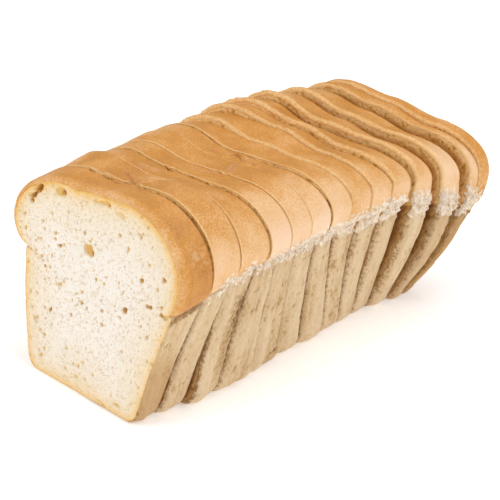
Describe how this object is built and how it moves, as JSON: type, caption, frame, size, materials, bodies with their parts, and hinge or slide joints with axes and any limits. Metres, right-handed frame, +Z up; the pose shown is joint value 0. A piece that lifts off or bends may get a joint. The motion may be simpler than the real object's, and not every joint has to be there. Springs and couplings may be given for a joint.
{
  "type": "sliced tin loaf of white bread",
  "caption": "White bread loaf baked in a tin and cut right through, its slices still standing together as the loaf, with a rolled golden crown over tapered side walls.",
  "frame": {"origin": "on the surface the loaf stands on, under the middle of its box", "axes": "+Z up; +Y along the loaf, from its cut front face to its heel; +X across it, towards the side the picture shows"},
  "size_m": [0.1172, 0.211, 0.0978],
  "materials": {
    "crust": "matte"
  },
  "bodies": {
    "root": {"slice_01": "crust", "slice_02": "crust", "slice_03": "crust", "slice_04": "crust", "slice_05": "crust", "slice_06": "crust", "slice_07": "crust", "slice_08": "crust", "slice_09": "crust", "slice_10": "crust", "slice_11": "crust", "slice_12": "crust", "slice_13": "crust", "slice_14": "crust"}
  },
  "joints": []
}
